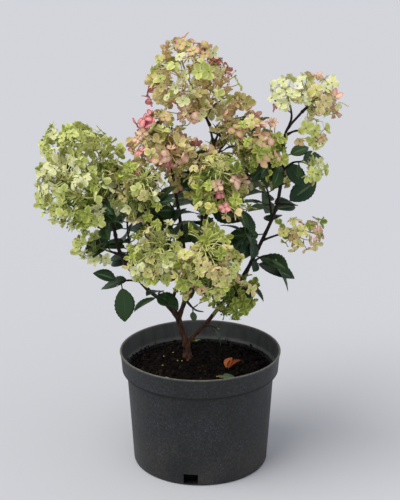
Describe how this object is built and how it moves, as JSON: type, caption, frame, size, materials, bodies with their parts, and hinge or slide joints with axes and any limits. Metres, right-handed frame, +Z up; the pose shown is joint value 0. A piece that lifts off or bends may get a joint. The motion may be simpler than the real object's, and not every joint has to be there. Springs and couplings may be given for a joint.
{
  "type": "potted panicle hydrangea",
  "caption": "Young panicle hydrangea shrub with green and blush flower cones, in a round plastic nursery pot filled with compost.",
  "frame": {"origin": "centre of the pot's flat underside, on the surface it stands on", "axes": "+Z straight up, +X to the right and -Y towards the viewer of the pictured side"},
  "size_m": [0.4753, 0.3242, 0.6926],
  "materials": {
    "pot_plastic": "matte, dusty",
    "compost": "rough, moist",
    "bark": "rough",
    "green_blossom": "matte, papery",
    "pink_blossom": "matte, papery",
    "foliage": "satin"
  },
  "bodies": {
    "root": {"pot": "pot_plastic", "soil": "compost", "trunk": "bark", "left_bough": "bark", "left_upper_bough": "bark", "centre_bough": "bark", "centre_upper_bough": "bark", "top_bough": "bark", "top_upper_bough": "bark", "right_bough": "bark", "right_middle_bough": "bark", "right_upper_bough": "bark", "left_upper_bloom": "green_blossom", "left_lower_bloom": "green_blossom", "left_drop_bloom": "green_blossom", "middle_left_bloom": "green_blossom", "pink_bloom": "pink_blossom", "top_bloom": "pink_blossom", "top_right_bloom": "pink_blossom", "centre_bloom": "green_blossom", "right_centre_bloom": "pink_blossom", "back_top_bloom": "green_blossom", "right_top_bloom": "green_blossom", "right_top_left_bloom": "green_blossom", "right_middle_bloom": "green_blossom", "right_side_bloom": "green_blossom", "right_low_bloom": "green_blossom", "front_left_bloom": "green_blossom", "front_right_bloom": "green_blossom", "low_right_bloom": "green_blossom", "back_left_bloom": "green_blossom", "back_middle_bloom": "green_blossom", "back_right_bloom": "green_blossom", "left_low_leaves": "foliage", "fork_leaves": "foliage", "collar_leaves": "foliage", "foot_leaves": "foliage", "front_leaves": "foliage", "right_inner_leaves": "foliage", "right_fork_leaves": "foliage", "right_long_leaves": "foliage"}
  },
  "joints": []
}
